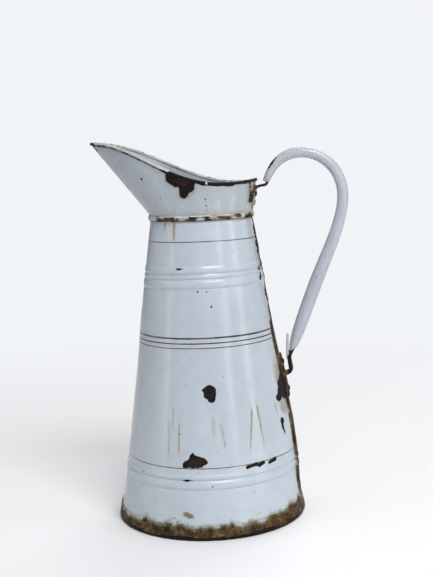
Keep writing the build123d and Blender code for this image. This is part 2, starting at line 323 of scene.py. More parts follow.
def wear_values(shape, chip_and_shade=NONE, brown=0.0, rust=NONE, stain_and_shade=0.0, **more):
    """Wear for each point of the given shape."""
    values = {"chip_and_shade": limited(chip_and_shade), "brown": brown, "rust": limited(rust), "stain_and_shade": stain_and_shade, **more}
    return {key: np.broadcast_to(data, shape) for key, data in values.items()}


def two_sided(outside, inside):
    """Wear of a sheet whose outer rows come before its inner ones."""
    return {key: np.concatenate([outside[key], inside[key]]) for key in outside}


def linked(name, data):
    """New object in the scene."""
    item = bpy.data.objects.new(name, data)
    bpy.context.scene.collection.objects.link(item)
    return item


def new_mesh(name, verts, faces, values):
    """Mesh from points in millimetres, with values for each, whose faces look outwards."""
    mesh = bpy.data.meshes.new(name)
    mesh.from_pydata((np.asarray(verts).reshape(-1, 3) * MM).tolist(), [], faces)
    for key, data in values.items():
        layer = mesh.attributes.new(key, "FLOAT", "POINT")
        layer.data.foreach_set("value", np.asarray(data, np.float32).ravel())
    work = bmesh.new()
    work.from_mesh(mesh)
    bmesh.ops.recalc_face_normals(work, faces=work.faces)
    work.to_mesh(mesh)
    work.free()
    return mesh


def make_piece(name, verts, faces, values, node, sharp=35.0):
    """Smooth object with sharp edges over the given angle, that stands for a CAD node."""
    mesh = new_mesh(name, verts, faces, values)
    mesh.polygons.foreach_set("use_smooth", np.ones(len(mesh.polygons), bool))
    mesh.set_sharp_from_angle(angle=math.radians(sharp))
    piece = linked(name, mesh)
    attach(piece, "root")
    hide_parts(node)
    return piece


def ring_faces(rows, loop, start=0):
    """Quads between rings of points; a loop also joins the last ring to the first."""
    index = start + np.arange(len(rows) * rows.shape[1]).reshape(rows.shape[:2])
    after = np.roll(index, -1, axis=1)
    upper, upper_after = np.roll(index, -1, axis=0), np.roll(after, -1, axis=0)
    quads = np.stack([index, after, upper_after, upper], -1)
    return (quads if loop else quads[:-1]).reshape(-1, 4).tolist()


def closed_faces(rows, start=0):
    """Quads between rings, and triangles from the first and last ring to centre points after them."""
    rings, count = rows.shape[:2]
    total = start + rings * count
    base = total - count
    first = [(total, start + (i + 1) % count, start + i) for i in range(count)]
    last = [(total + 1, base + i, base + (i + 1) % count) for i in range(count)]
    return ring_faces(rows, False, start) + first + last


def with_ends(rows):
    """Points or values of rings, with two more for the centre points."""
    rows = rows.reshape(*rows.shape[:2], -1)
    return np.concatenate([rows.reshape(-1, rows.shape[-1]), [rows[0].mean(0)], [rows[-1].mean(0)]])


def closed_forms(parts):
    """Points and faces of several closed forms, each given by its rings."""
    verts, faces = [], []
    for rows in parts:
        faces += closed_faces(rows, len(verts))
        verts += with_ends(rows).tolist()
    return np.array(verts), faces


def around(bearing, radius, z):
    """Points of the row frame from bearings, radii and heights."""
    turn = np.radians(bearing)
    return np.stack([radius * np.sin(turn), -radius * np.cos(turn), z + 0 * radius], -1)


def spun(profile, count):
    """Bearings, radii and heights of a profile of radii and heights that is turned round the axis."""
    bearings = np.linspace(-180, 180, count + 1)[:-1]
    b, r = np.meshgrid(bearings, profile[:, 0])
    z = np.meshgrid(bearings, profile[:, 1])[1]
    return b, r, z


def leant(points):
    """Moves the neck over by its lean and spreads it."""
    share = smooth(points[..., 2], 150, 240) * (1 - smooth(points[..., 2], 306, 325))
    points[..., 0] += (NECK_SHIFT + NECK_SPREAD * points[..., 0]) * share
    points[..., 1] *= 1 + NECK_SPREAD * share
    return points


def chipped(points, chip_and_shade, depth=0.45, seed=5):
    """How far the surface sinks where the enamel is gone."""
    edge = chip_and_shade + 0.5 * fbm(points, 3.0, seed)
    return depth * smooth(edge, -0.5, 0.6)


def tube_rows(centre, across, up, radius, sides):
    """Rings of points round a line, from two crosswise directions at each station."""
    turn = full_turn(sides)
    ring = np.cos(turn)[None, :, None] * across[:, None, :] + np.sin(turn)[None, :, None] * up[:, None, :]
    return centre[:, None, :] + ring * radius[..., None]


# ---------------- body wall

def wall_r(z):
    return WALL_R0 - TAPER * z


def bead_rise(z):
    """Height of the pressed beads over the plain wall, with the sunk lines between them."""
    rise = 0.0 * z
    for top, bottom, proud in BEADS:
        across = (z - (top + bottom) / 2) / ((top - bottom) / 2)
        rise = np.maximum(rise, 0.75 * proud * (1 - np.minimum(np.abs(across), 1) ** 2.2))
    for top, bottom, proud in BEADS:
        rise = rise - 0.45 * np.exp(-((z - bottom) / 1.2) ** 2)
    return rise


def dents(bearing, z):
    """Knocks and pulls of a used jug: pushed out under the handle, flattened on the spout's side."""
    pulled = 5.0 * np.exp(-(wrap(bearing - 97) / 30) ** 2) * smooth(z, 22, 88) * (1 - smooth(z, 118, 235))
    flat_side = 1.8 * (1 - smooth(z, 150, 215)) * smooth(z, 13, 22) * (1 - smooth(z, 280, 300))
    flattened = flat_side * np.exp(-(wrap(bearing + 79) / 42) ** 2)
    points = around(bearing, wall_r(z), z)
    wavy = 0.3 * fbm(points, 48.0, 3, 2) * smooth(z, 13, 30) * (1 - smooth(z, 285, 300))
    return pulled - flattened + wavy


def seam_rise(bearing, z):
    """The folded side seam, and its low shoulders."""
    off = np.abs(arc(bearing, SEAM_BEARING, wall_r(z)))
    lumps = 0.25 * value_noise(np.stack([off * 0, off * 0, z / 9.0], -1), 8)
    lumps = lumps + 0.8 * smooth(z, 18, 40) * (1 - smooth(z, 122, 142))
    ridge = (SEAM_PROUD + lumps) * smooth(SEAM_HALF + 0.6 - off, 0, 1.1)
    return ridge * smooth(z, 13, 17) * (1 - smooth(z, 297, 299))


def wall_chips(bearing, z):
    """Distance inside the bare iron of the wall, away from its seam."""
    r = wall_r(z)
    points = around(bearing, r, z)
    fields = [blots(arc(bearing, b0, r), z - z0, *shapes) for b0, z0, shapes in BODY_CHIPS]
    fields += [capsule(arc(bearing, b0, r), z - z0, *stroke) for b0, z0, *stroke in BODY_STROKES]
    fields += [ellipse(arc(bearing, b0, r), z - z0, 0, 0, w, h) for b0, z0, w, h in BODY_SPOTS]
    for b0, z0, ragged, size, seed, shapes in BODY_POOLS:
        fields.append(blots(arc(bearing, b0, r), z - z0, *shapes) + ragged * fbm(points, size, seed, 3))
    for start, end, width in DASHES:
        half = (end - start) / 2 * np.pi / 180 * wall_r(64.6)
        x = arc(bearing, (start + end) / 2, r)
        fields.append(capsule(x, z - DASH_Z, (-half, -0.6), (half, 0.6), width * 0.9, width))
    return union(*fields)


def seam_wear(bearing, z):
    """Distances inside the bare iron and inside the rust along the seam."""
    off = arc(bearing, SEAM_BEARING, wall_r(z))
    along = fbm(np.stack([off / 8, 0 * off, z + 0 * off], -1), 16.0, 21)
    ragged = 2.2 * fbm(around(bearing, wall_r(z), z), 13.0, 23)
    far_edge = 2.2 - np.abs(off - SEAM_HALF - 0.8) + 1.3 * along + 0.8 * (1 - smooth(z, 60, 190))
    near_edge = 0.4 - np.abs(off + SEAM_HALF - 0.2) + 1.5 * along - 0.7
    top = np.minimum(off + 3.2, 8.5 - off + ragged) + 1.6 * along - 6.0 * (1 - smooth(z, 168, 190))
    reach = 13.0 - 6.5 * smooth(z, 60, 100) * (1 - smooth(z, 150, 180)) + 14.0 * (1 - smooth(z, 22, 48))
    strip = np.minimum(off + SEAM_HALF + 0.6 + 2.0 * smooth(z, 120, 150), reach - off)
    strip = strip + ragged + 0.8 * along - 4.0 * smooth(z, 172, 215)
    strip = np.where((z > 3) & (z < 215), strip, NONE)
    ridge = SEAM_HALF + 0.7 - np.abs(off) - 2.4
    ridge = ridge + 2.6 * fbm(np.stack([off / 6, 0 * off, z + 0 * off], -1), 11.0, 33, 2)
    return union(far_edge, near_edge, top), union(strip, np.where(z >= 178, ridge, NONE))


def wall_stain(bearing, z):
    """Streaks that have run down the wall, a leaf-shaped mark, and dirt beside the seam."""
    r = wall_r(z)
    stain_and_shade = 0.0 * z
    for top, bottom, half, strength in BODY_STREAKS:
        t = np.clip((top[1] - z) / (top[1] - bottom[1]), 0, 1)
        gap = arc(bearing, top[0] + (bottom[0] - top[0]) * t, r)
        ends = smooth(z, bottom[1] - 2, bottom[1] + 8) * (1 - smooth(z, top[1] - 1, top[1] + 4))
        stain_and_shade = np.maximum(stain_and_shade, strength * np.exp(-(gap / (half * (1.15 - 0.5 * t))) ** 2) * ends)
    leaf = ellipse(arc(bearing, -5.9, r), z - 23.9, 0, 0, 4.4, 1.5, -17)
    stain_and_shade = np.maximum(stain_and_shade, 4.0 * smooth(leaf, -0.9, 0.9))
    on_ridge = SEAM_HALF + 0.7 - np.abs(arc(bearing, SEAM_BEARING, r))
    patchy = smooth(fbm(around(bearing, r, z), 14.0, 40), -0.3, 0.5)
    stain_and_shade = np.maximum(stain_and_shade, 0.55 * smooth(on_ridge, -4.5, 0.5) * patchy)
    for b0, z0, w, h in ((77.5, 113.0, 8.0, 8.0), (76.0, 143.0, 5.0, 12.0)):
        smear = ellipse(arc(bearing, b0, r), z - z0, 0.0, 0.0, w, h)
        stain_and_shade = np.maximum(stain_and_shade, 0.6 * smooth(smear, -4, 2))
    return stain_and_shade


def foot_rust_level(bearing):
    """Height that the rust at the foot has crept up to."""
    turn = np.radians(bearing)
    points = np.stack([np.cos(turn), np.sin(turn), 0 * turn], -1) * 95
    level = 12.2 + 3.4 * fbm(points, 22.0, 50) + 2.6 * fbm(points, 6.0, 53, 2)
    for b0, width, height in FOOT_RUST_PEAKS:
        level = level + height * np.exp(-(wrap(bearing - b0) / width) ** 2)
    return level


def foot_rust(below):
    """Distance inside the rust at the given depth below its edge; it thins out slowly above that."""
    return limited(np.where(below < 0, 0.42 * below, below), 5)


def wall_wear(bearing, z):
    """All wear on the outside of the wall."""
    r = wall_r(z)
    seam_chip, seam_rust = seam_wear(bearing, z)
    at_chip = ellipse(arc(bearing, -1.4, r), z - 72.5, 4.0, -1.0, 12, 6)
    at_seam = (np.abs(arc(bearing, SEAM_BEARING, r)) < 9) * (z < 180)
    return wear_values(
        z.shape,
        chip_and_shade=union(wall_chips(bearing, z), seam_chip),
        brown=np.maximum(0.75 * smooth(at_chip, -2, 2), 0.55 * at_seam),
        rust=union(seam_rust, foot_rust(foot_rust_level(bearing) - z)),
        stain_and_shade=wall_stain(bearing, z),
        painted=1.0,
    )


def make_body():
    """Tapered wall as one closed sheet: outside, lip, inside, lip."""
    def column_density(b):
        return 1 + 3.0 * np.exp(-((b - SEAM_BEARING) / 6) ** 2) + 0.35 * (np.abs(b - 20) < 70)

    def row_density(z):
        return 1 + 1.4 * ((np.abs(z - 246) < 13) | (np.abs(z - 54) < 9))

    b, z = np.meshgrid(spaced(-180, 180, 345, column_density)[:-1],
                       spaced(WALL_FOOT_Z, NECK_Z, 212, row_density))
    outside = wall_wear(b, z)
    tilt = 0.7 * (1 - np.sin(np.radians(b))) * smooth(z, 100, 200)
    worn = 1 - 0.5 * np.exp(-(wrap(b + 81) / 45) ** 2) - 0.5 * np.exp(-(wrap(b - 86) / 22) ** 2)
    plain = wall_r(z) + worn * bead_rise(z + tilt) + dents(b, z)
    points = around(b, plain, z)
    outer_r = plain + seam_rise(b, z) - chipped(points, outside["chip_and_shade"])
    outer_r = outer_r - 0.25 * smooth(outside["rust"], -0.5, 0.8)
    bare = smooth(union(outside["rust"], outside["chip_and_shade"]), -0.5, 0.8)
    outer = around(b, outer_r + 0.10 * fbm(points, 2.2, 60, 2) * bare, z)
    inner = around(b, plain - SHEET, z)[::-3]
    rows = leant(np.concatenate([outer, inner]))
    inside = wear_values(inner.shape[:2], stain_and_shade=0.06, painted=0.0)
    return make_piece("body_wall", rows, ring_faces(rows, True), two_sided(outside, inside),
                      "body_shell")


# ---------------- base pan

def make_base():
    """Recessed floor, standing ring and the worn, rusted skirt."""
    skirt = np.array([(92.8, 0.0), (94.0, 0.3), (94.7, 1.1), (95.0, 2.3), (94.95, 3.7), (94.55, 5.6),
                      (94.05, 7.8), (93.6, 10.2), (93.15, 12.8), (92.5, 14.6)])
    skirt = spline_at(skirt, np.linspace(0, 1, len(skirt)), np.linspace(0, 1, 34))
    groove_z = WALL_FOOT_Z - 0.15
    top_z = FLOOR_Z + SHEET
    groove = [(wall_r(z) + CLEARANCE, z) for z in np.linspace(14.2, groove_z, 6)]
    back = [(wall_r(z) - SHEET - 0.08, z) for z in (groove_z, 4.8, top_z - 0.4)]
    floor_top = [(r, top_z) for r in (91.6, 80, 60, 35, 10)]
    floor_low = [(r, FLOOR_Z) for r in (10, 35, 60, 80, 87.8)]
    ring = [(89.2, 4.6), (89.85, 3.6), (90.0, 2.0), (90.05, 0.5), (90.3, 0.0)]
    profile = np.array(floor_low + ring + skirt.tolist() + groove + back + floor_top)
    b, r, z = spun(profile, 420)
    points = around(b, r, z)

    row = np.arange(len(profile))[:, None]
    first = len(floor_low + ring)
    last = first + len(skirt)
    outside = row < last
    pits = 0.28 * fbm(points, 5.0, 70) + 0.14 * fbm(points, 1.6, 75, 2)
    knocks = 0.35 * fbm(points, 40.0, 78, 2) - 0.2
    on_skirt = (row > first) & (row < last - 1)
    r = r + on_skirt * (pits + knocks) * (1 - 0.8 * smooth(z, 7, 12))
    z = z + 0.5 * fbm(points, 55.0, 80, 2) * (row < len(floor_low))
    underneath = outside & (r < 89.9)
    blackened = limited(3.6 - z + 3.2 * fbm(points, 14.0, 82) + 1.4 * fbm(points, 4.0, 83, 2))
    skirt_rust = foot_rust(foot_rust_level(b) + 1.0 - z)
    kinds = [underneath, outside]
    values = wear_values(
        z.shape,
        chip_and_shade=np.select(kinds, [-1.2 + 2.2 * fbm(points, 18.0, 84), blackened], NONE),
        brown=0.25,
        rust=np.select(kinds, [0.8 + 2.5 * fbm(points, 25.0, 86), skirt_rust], NONE),
        stain_and_shade=np.where(outside, 0.0, 0.25),
    )
    rows = around(b, r, z)
    return make_piece("foot_pan", with_ends(rows), closed_faces(rows),
                      {key: with_ends(data) for key, data in values.items()}, "base_pan")


# ---------------- collar and rim

def rim_height(x):
    """Height of the rolled edge's middle."""
    behind = RIM_LOW_Z + RIM_BACK_RISE * np.clip((x - RIM_LOW_X) / (RIM_BACK - RIM_LOW_X), 0, 1.1) ** 2
    along = np.clip((RIM_LOW_X - x) / (RIM_LOW_X + RIM_FRONT), 0, 1)
    ahead = RIM_LOW_Z + (RIM_TIP_Z - RIM_LOW_Z) * (1 - np.cos(np.pi * along ** RIM_SWEEP)) / 2
    return np.where(x > RIM_LOW_X, behind, ahead)


def rim_half(wanted):
    """Points of half the rim at the wanted fractions of its length, from the back to the tip."""
    turn = np.linspace(0, np.pi, 4001)
    along = np.clip(-np.cos(turn), 0, 1)
    power, fall = RIM_NOSE
    front = RIM_HALF_WIDTH * (1 - along ** power) ** fall
    x = np.where(turn <= np.pi / 2, RIM_BACK * np.cos(turn), -RIM_FRONT * along)
    y = np.where(turn <= np.pi / 2, RIM_HALF_WIDTH * np.sin(turn), front)
    length = np.concatenate([[0], np.cumsum(np.hypot(np.diff(x), np.diff(y)))])
    at = wanted * length[-1]
    return np.interp(at, length, x), np.interp(at, length, y)


def rim_ring(count):
    """Closed curve along the rim, with marks: 0 at the back, under 0 on the near side, -1 at the tip."""
    marks = np.linspace(-1, 1, count + 1)[:-1]
    x, y = rim_half(np.abs(marks))
    y = y * np.sign(marks + 1e-9)
    for _ in range(3):
        x = (np.roll(x, 1) + 2 * x + np.roll(x, -1)) / 4
        y = (np.roll(y, 1) + 2 * y + np.roll(y, -1)) / 4
    return marks, x, y


def hood_wear_and_shade(points, near):
    """Wear and painted shade on the outside of the collar; near tells which points are on the near side."""
    x, z = points[..., 0], points[..., 2]
    big = blots(x, z, (-17.5, 341.0, 7.2, 6.4, 20), (-4.6, 335.0, 9.0, 7.0), (-14.0, 336.4, 4.4, 4.2),
                (-6.6, 327.6, 5.0, 6.4), (-1.6, 329.8, 5.2, 4.4))
    big = union(big, capsule(x, z, (-19, 345.5), (14, 337.2), 2.4, 0.9))
    drip = union(capsule(x, z, (53.6, 333), (53.0, 322), 0.9, 0.8),
                 capsule(x, z, (52.8, 321), (51.6, 314.5), 0.9, 1.5))
    crack = capsule(x, z, (13.8, 327.5), (13.0, 308.5), 0.32, 0.22)
    crack = crack - 0.35 + 0.7 * value_noise(points / 3.1, 90)
    curl = capsule(x, z, (28.6, 319.5), (30.0, 313.5), 0.2, 0.2)
    curl = curl - 0.3 + 0.6 * value_noise(points / 2.3, 92)
    spots = blots(x, z, (-49.5, 340.8, 0.8, 0.8), (-35.5, 353.0, 1.3, 0.9), (26.0, 318.8, 0.7, 0.6),
                  (-31.0, 322.0, 0.5, 0.5))
    far = blots(x, z, (-60, 352, 4.5, 3.0), (10, 331, 6.0, 4.6), (33, 316, 3.2, 4.0))
    edge_spots = blots(x, z, (-71.0, 332.1, 1.5, 1.9), (-101.5, 369.6, 1.6, 1.8))
    edge_spots = np.minimum(edge_spots, 3.0 - np.abs(points[..., 1] + 6.0))
    nose = -102.5 - x + 1.5 * fbm(points, 4.0, 94)
    gap = rim_height(x) - z
    lip = 0.3 - gap + 1.7 + 1.4 * fbm(points, 8.0, 96)
    back_rust = capsule(x, z, (54.6, 329), (51.6, 306), 0.9, 0.5) + 0.5 * fbm(points, 6.0, 98) - 0.3
    # grime with painted shade: darker at the collar's foot by the hoop and just under the rolled rim at the
    # front
    grime_and_shade = 0.42 * (1 - smooth(z, FLARE_Z, FLARE_Z + 6.5)) + 0.3 * smooth(-gap, -9, -1) * smooth(x, -110, -10)
    shade_and_grime_under_lip = np.exp(-((gap - 3.0) / 2.2) ** 2) * smooth(-x, 55, 85)
    grime_and_shade = (grime_and_shade + 0.5 * shade_and_grime_under_lip) * (0.6 + 0.6 * fbm(points, 9.0, 99))
    halo = 0.5 * smooth(union(big, drip) * near + NONE * (~near), -3.5, 0.0)
    return wear_values(
        x.shape,
        chip_and_shade=union(np.where(near, union(big, drip, crack, curl, spots), far), edge_spots, nose, lip),
        brown=0.85 * smooth(ellipse(x, z, -6, 338, 9, 6), -3, 3) * near,
        rust=np.where(near, back_rust, NONE),
        stain_and_shade=np.clip(np.maximum(grime_and_shade, halo), 0, 1.5),
    )


def make_hood():
    """Flared collar with its pouring lip, as one closed sheet."""
    marks, rim_x, rim_y = rim_ring(460)
    turn = np.pi * marks
    foot_out = np.stack([np.cos(turn), np.sin(turn)], -1)
    foot = (NECK_R - SHEET / 2) * foot_out
    rim = np.stack([rim_x, rim_y], -1)
    top_z = rim_height(rim_x) - 0.6
    tangent = np.roll(rim, -1, 0) - np.roll(rim, 1, 0)
    rim_out = unit(np.stack([tangent[:, 1], -tangent[:, 0]], -1))

    def sheet_row(level, offset):
        if level < 0:
            return np.column_stack([foot + foot_out * offset, np.full(len(marks), FLARE_Z + level)])
        lean = foot_out * (1 - level) + rim_out * level
        flat = foot * (1 - level) + rim * level + lean * offset
        return np.column_stack([flat, FLARE_Z + (top_z - FLARE_Z) * level])

    low = HOOD_LOW[2] - FLARE_Z
    outer_levels = np.concatenate([np.linspace(low, -0.5, 4), np.linspace(0, 1, 88)])
    inner_levels = np.concatenate([np.linspace(1, 0, 46), np.linspace(-0.5, low, 3)])
    outer = np.array([sheet_row(level, SHEET / 2) for level in outer_levels])
    inner = np.array([sheet_row(level, -SHEET / 2) for level in inner_levels])
    outside = hood_wear_and_shade(outer, marks[None, :] < 0)
    inner_gap = rim_height(inner[..., 0]) - inner[..., 2]
    inside = wear_values(inner.shape[:2], 1.0 - inner_gap + 1.5 * fbm(inner, 7.0, 105), 0.3, stain_and_shade=0.05)

    away = outer - outer.mean(1, keepdims=True)
    away[..., 2] = 0
    belly = 0.35 * fbm(outer, 35.0, 101, 2) * smooth(outer[..., 2], FLARE_Z, FLARE_Z + 20)
    outer = outer + unit(away) * (belly - chipped(outer, outside["chip_and_shade"], 0.42, 9))[..., None]
    rows = leant(np.concatenate([outer, inner]))
    return make_piece("collar_hood", rows, ring_faces(rows, True), two_sided(outside, inside),
                      "spout_collar")


def make_rim():
    """Rolled edge along the rim, lumpy where the enamel has flaked off it, dark along its near underside with
    painted shadow and chips.
    """
    sides = 20
    marks, x, y = rim_ring(620)
    line = np.column_stack([x, y, rim_height(x)])
    along = unit(np.roll(line, -1, 0) - np.roll(line, 1, 0))
    across = unit(np.cross(along, (0, 0, 1.0)))
    up = np.cross(across, along)
    size = WIRE_R * (1 + 0.10 * fbm(line, 12.0, 110, 2))[:, None] * np.ones((1, sides))
    rows = tube_rows(line, across, up, size, sides)
    near = marks[:, None] < 0
    px = x[:, None]
    flaky = fbm(rows, 7.0, 112)
    under = -np.sin(full_turn(sides))[None, :]
    # near side: the roll's underside is given dark iron colour, painted shadow under the rolled edge together
    # with chipped enamel
    underside_shadow_and_chips = 2.2 * (under - 0.35)
    bare = smooth(px + 4 * flaky, -30, -16)
    gap = 2.3 * np.exp(-((px - 15) / 3.2) ** 2)
    near_side = underside_shadow_and_chips * (1 - bare) + (1.5 - gap) * bare
    far_side = -1.1 + 1.7 * np.maximum(-under - 0.2, 0) + 0.7 * fbm(rows, 3.0, 115, 2)
    black = np.where(near, near_side, far_side) + 3.5 * smooth(-px, 99, 104)
    chip_and_shade = black + np.where(near, 0.5 + 0.9 * bare, 0.8) * flaky
    sunk = 0.35 * smooth(chip_and_shade, -0.4, 0.5) - 0.12 * fbm(rows, 1.8, 114, 2)
    rows = tube_rows(line, across, up, size - sunk, sides)
    values = wear_values(
        chip_and_shade.shape,
        chip_and_shade=chip_and_shade,
        brown=np.clip(0.3 + 0.5 * fbm(rows, 16.0, 116), 0, 1),
        rust=-2.3 + 2.4 * fbm(rows, 9.0, 118) + 1.2 * (near & (px > 15)),
        stain_and_shade=np.clip(0.02 + 0.16 * near * (1 - bare) + 0.4 * fbm(rows, 10.0, 119), 0, 1),
    )
    return make_piece("rim_roll", rows, ring_faces(rows, True), values, "rim_wire", 60)


def make_band():
    """Half-round hoop at the neck, blotched with rust and split by one long break in its enamel."""
    low, high = BAND_LOW[2], BAND_HIGH[2]
    middle, half = (low + high) / 2, (high - low) / 2
    inside = NECK_R + CLEARANCE
    turn = np.linspace(-np.pi / 2, np.pi / 2, 15)
    crown = [(inside + 0.3 + 0.9 * math.cos(t), middle + half * math.sin(t)) for t in turn]
    profile = np.array(crown + [(inside + 0.02, high - 0.1), (inside + 0.02, low + 0.1)])
    b, r, z = spun(profile, 480)
    points = around(b, r, z)
    x = arc(b, 9, inside)
    slit = union(capsule(x, z, (-11.0, 302.3), (1.0, 302.2), 0.95, 0.9),
                 capsule(x, z, (1.0, 302.2), (9.0, 302.4), 0.75, 0.3))
    dark = blots(x, z, (-43, 299.8, 3.0, 1.0), (55, 300.6, 6.0, 1.0), (7.0, 299.8, 2.2, 0.7))
    chip_and_shade = union(slit, dark + 0.8 * fbm(points, 3.0, 120))
    rust = blots(x, z, (-43, 300.8, 4.5, 1.5), (-31, 301.0, 7.0, 1.6), (-10, 300.6, 3.5, 1.0),
                 (6, 300.2, 5.0, 1.0), (24, 301.2, 5.5, 1.4), (36, 302.6, 5.0, 1.8), (57, 301.6, 8.0, 2.2),
                 (95, 301, 9, 2), (130, 301, 5, 1.5), (-90, 300.5, 9, 1.4), (-125, 302, 6, 1.6))
    rust = rust + 1.5 * fbm(points, 3.4, 124) + 0.15
    under = smooth(-z, -low - 1.3, -low - 0.3)
    rust = union(rust, -1.3 + 2.3 * under + 1.4 * fbm(points, 6.0, 126))
    r = r - 0.4 * smooth(chip_and_shade, -0.3, 0.3) - 0.15 * smooth(rust, 0, 0.6) + 0.12 * fbm(points, 7.0, 128, 2)
    rows = leant(around(b, np.maximum(r, inside), z))
    stain_and_shade = np.clip(0.6 * smooth(rust, -1.3, 0.2) + 0.25 * fbm(points, 9.0, 129), 0, 1.2)
    values = wear_values(z.shape, chip_and_shade, 0.3, rust, stain_and_shade)
    return make_piece("neck_hoop", rows, ring_faces(rows, True), values, "neck_band", 50)


# ---------------- handle and brackets

def handle_line(wanted):
    """Points and directions of the handle's centre line at the wanted fractions of its length."""
    knots = np.array(HANDLE_PATH)
    marks = lengths(knots)
    flat = spline_at(knots, marks, np.linspace(0, marks[-1], 2000))
    length = lengths(flat)
    at = wanted * length[-1]
    return interpolated(at, length, flat), unit(interpolated(at, length, np.gradient(flat, axis=0)))


def make_handle():
    """Tubular loop, drawn thin at both ends and hollow inside."""
    stations, sides = 300, 48
    marks = spaced(0, 1, stations, lambda t: 1 + 3 * (np.minimum(t, 1 - t) < 0.04))
    centre, slope = handle_line(marks)
    radius = np.interp(marks, *np.array(HANDLE_RADII).T)
    for _ in range(6):
        radius[1:-1] = (radius[:-2] + 2 * radius[1:-1] + radius[2:]) / 4
    line = np.column_stack([centre[:, 0], 0 * marks, centre[:, 1]])
    across = np.tile((0.0, 1.0, 0.0), (stations, 1))
    up = np.column_stack([-slope[:, 1], 0 * marks, slope[:, 0]])
    full = radius[:, None] * np.ones((1, sides))
    outer = tube_rows(line, across, up, full, sides)
    inner = tube_rows(line, across, up, full - TUBE_WALL, sides)[::-4]
    x, z = outer[..., 0], outer[..., 2]
    chip_and_shade = union(capsule(x, z, (68.0, 345.0), (77.5, 356.0), 1.5, 1.2) + 0.8 * fbm(outer, 5.0, 130),
                 ellipse(x, z, 117.0, 220.5, 1.2, 1.2) - 0.5 + 0.9 * value_noise(outer / 1.3, 131),
                 ellipse(x, z, 145.5, 322.0, 1.4, 7.0) - 1.4 + 2.0 * fbm(outer, 3.0, 132),
                 capsule(x, z, (66.0, 332.6), (70.0, 332.0), 1.4, 1.4) - 0.4 + 0.8 * fbm(outer, 3.0, 133),
                 164.0 - z + 0.4 * (x - 86.6) + 0.8 * fbm(outer, 3.0, 134),
                 -1.2 + 1.5 * fbm(outer, 6.0, 136) - 4.0 * (marks[:, None] < 0.9))
    sunk = chipped(outer, chip_and_shade, 0.35, 11) - 0.06 * fbm(outer, 20.0, 138, 2)
    rows = np.concatenate([tube_rows(line, across, up, full - sunk, sides), inner])
    stain_and_shade = 0.35 * (1 - smooth(marks, 0.0, 0.03)) + 0.5 * smooth(marks, 0.985, 1.0)
    values = two_sided(wear_values(chip_and_shade.shape, chip_and_shade, 0.2, stain_and_shade=stain_and_shade[:, None]),
                       wear_values(inner.shape[:2], 2.0, 0.6))
    return make_piece("handle_loop", rows, ring_faces(rows, True), values, "handle_tube")


def strap_points(path, widths, thick, sides=28):
    """Rings of a strap with rounded edges that follows a path in the X-Z plane."""
    path = np.array(path, float)
    marks = lengths(path)
    wanted = np.linspace(0, marks[-1], max(12, int(marks[-1] / 0.8)))
    line = interpolated(wanted, marks, path)
    for _ in range(3):
        line[1:-1] = (line[:-2] + 2 * line[1:-1] + line[2:]) / 4
    slope = unit(np.gradient(line, axis=0))
    half = np.interp(wanted, marks, widths) / 2
    turn = full_turn(sides)
    c, s = np.cos(turn), np.sin(turn)
    flat = np.sign(c) * np.abs(c) ** 0.35
    round_side = np.sign(s) * np.abs(s) ** 0.6
    rows = np.zeros((len(wanted), sides, 3))
    rows[..., 0] = line[:, 0, None] - slope[:, 1, None] * round_side * thick / 2
    rows[..., 1] = half[:, None] * flat
    rows[..., 2] = line[:, 1, None] + slope[:, 0, None] * round_side * thick / 2
    return rows


def blended(name, forms, voxel, wear, node):
    """Closed forms melted into one skin of the given voxel size, then roughened and given its wear."""
    piece = linked(name + "_forms", new_mesh(name + "_forms", *closed_forms(forms), {}))
    remesh = piece.modifiers.new("melt", "REMESH")
    remesh.mode = "VOXEL"
    remesh.voxel_size = voxel * MM
    soft = piece.modifiers.new("soft", "SMOOTH")
    soft.iterations = 3
    soft.factor = 0.5
    done = bpy.data.meshes.new_from_object(piece.evaluated_get(bpy.context.evaluated_depsgraph_get()))
    bpy.data.objects.remove(piece)
    verts = np.zeros(len(done.vertices) * 3)
    done.vertices.foreach_get("co", verts)
    verts = verts.reshape(-1, 3) / MM
    normals = np.zeros(len(done.vertices) * 3)
    done.vertex_normals.foreach_get("vector", normals)
    verts = verts + normals.reshape(-1, 3) * (0.16 * fbm(verts, 2.6, 140))[:, None]
    faces = [tuple(p.vertices) for p in done.polygons]
    bpy.data.meshes.remove(done)
    return make_piece(name, verts, faces, wear(verts), node, 70)


def hood_back_x(z):
    """Outside of the collar behind the jug, in the handle's plane."""
    return NECK_R + (RIM_BACK + SHEET / 2 - NECK_R) * (z - FLARE_Z) / (RIM_LOW_Z + RIM_BACK_RISE - FLARE_Z)


def visual_wall_x(z):
    """Outside of the wall in the handle's plane, with its pull towards the handle."""
    z = np.asarray(z, float)
    return wall_r(z) + dents(90.0 + 0 * z, z)


def hugging(rows, surface_x, radius):
    """Bends flat rows round a wall of the given radius, less and less away from it."""
    off = rows[..., 0] - surface_x(rows[..., 2])
    rows[..., 0] -= rows[..., 1] ** 2 / (2 * radius) * (1 - smooth(off, 1.5, 5.0))
    return rows


def upper_bracket_wear(p):
    x, _, z = p.T
    chip_and_shade = union(capsule(x, z, (64.0, 329.0), (69.5, 332.0), 2.2, 3.0),
                 ellipse(x, z, hood_back_x(322.0) + 2.4, 322.0, 1.0, 2.2),
                 -1.2 + 1.8 * fbm(p, 5.0, 142)) + 0.5 * fbm(p, 2.5, 144)
    rust = union(capsule(x, z, (55.5, 326.5), (63.0, 330.5), 2.0, 1.8) - 0.3,
                 0.9 - np.abs(x - hood_back_x(z) - 0.3)) + 0.9 * fbm(p, 4.0, 146)
    return wear_values(x.shape, chip_and_shade, 0.5, rust, np.clip(0.35 + 0.4 * fbm(p, 6.0, 148), 0, 1))


